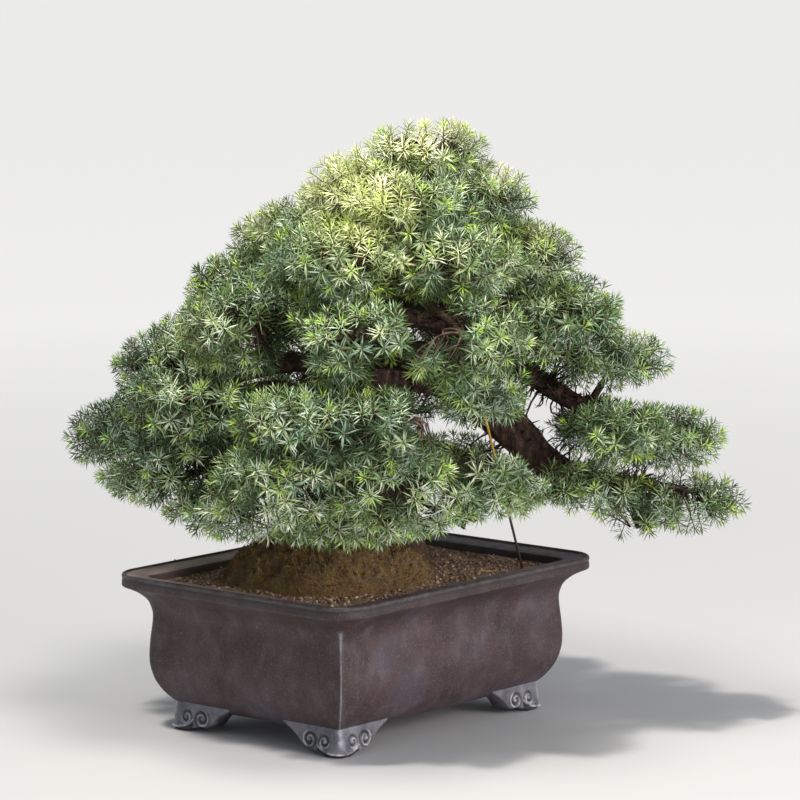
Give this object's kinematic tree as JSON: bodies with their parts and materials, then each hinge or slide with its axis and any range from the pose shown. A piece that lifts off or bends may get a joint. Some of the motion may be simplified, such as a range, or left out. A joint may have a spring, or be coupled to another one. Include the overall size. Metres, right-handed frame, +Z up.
{
  "type": "juniper bonsai in a clay pot",
  "caption": "Juniper bonsai in a rectangular unglazed clay pot on scroll feet: layered needle sprays on a stout trunk, a long low limb to one side and a mossy mound at its foot.",
  "frame": {"origin": "on the surface the pot stands on, under the middle of the outline of tree and pot", "axes": "+Z up the tree; +X along the pot's long side; the picture is taken from the side of -X and -Y, over the corner of the pot that has the foot_rest mount"},
  "size_m": [0.5054, 0.5318, 0.5502],
  "materials": {
    "fired_clay": "unglazed dark purple-brown stoneware, mottled, rubbed paler on edges",
    "coarse_grit": "loose tan pumice grit, matt",
    "potting_soil": "damp dark granular potting soil, matt",
    "moss": "dry golden-brown and olive moss over soil, matt",
    "bark": "dark fibrous juniper bark in long strips, matt",
    "cane": "golden split cane, satin",
    "screen_plastic": "black moulded screen, matt",
    "wire_metal": "drawn soft aluminium wire, satin",
    "needles": "living needles, blue-green above with a pale waxy band, green below"
  },
  "bodies": {
    "root": {"pot": "fired_clay", "drainage_grit": "coarse_grit", "soil": "potting_soil", "moss_mound": "moss", "trunk": "bark", "cane_stake": "cane", "anchor_wire": "wire_metal", "drainage_screen_1": "screen_plastic", "drainage_screen_2": "screen_plastic", "spray_crown_top": "needles", "spray_crown_left": "needles", "spray_crown_right": "needles", "spray_crown_front": "needles", "spray_crown_back": "needles", "spray_shoulder_left": "needles", "spray_shoulder_left_front": "needles", "spray_shoulder_right_front": "needles", "spray_shoulder_right": "needles", "spray_shoulder_right_back": "needles", "spray_shoulder_back": "needles", "spray_shoulder_left_back": "needles", "spray_upper_left": "needles", "spray_upper_left_front": "needles", "spray_upper_front": "needles", "spray_upper_front_right": "needles", "spray_upper_right": "needles", "spray_upper_right_back": "needles", "spray_upper_back_right": "needles", "spray_upper_back_left": "needles", "spray_upper_left_back": "needles", "spray_middle_left": "needles", "spray_middle_left_front": "needles", "spray_middle_front_left": "needles", "spray_middle_front": "needles", "spray_middle_front_right": "needles", "spray_middle_back_right": "needles", "spray_middle_back_left": "needles", "spray_middle_left_back": "needles", "spray_low_tip_left": "needles", "spray_low_left_front": "needles", "spray_low_front_left": "needles", "spray_low_front": "needles", "spray_low_front_right": "needles", "spray_low_left_back": "needles", "spray_low_back_left": "needles", "spray_low_back": "needles", "spray_skirt_left": "needles", "spray_skirt_left_front": "needles", "spray_skirt_front": "needles", "spray_skirt_front_right": "needles", "spray_skirt_right": "needles", "spray_skirt_back_left": "needles", "spray_skirt_back_right": "needles", "spray_limb_top": "needles", "spray_limb_inner": "needles", "spray_limb_far": "needles", "spray_limb_behind": "needles", "spray_limb_low": "needles", "spray_limb_tip": "needles", "spray_limb_drop": "needles"}
  },
  "joints": []
}
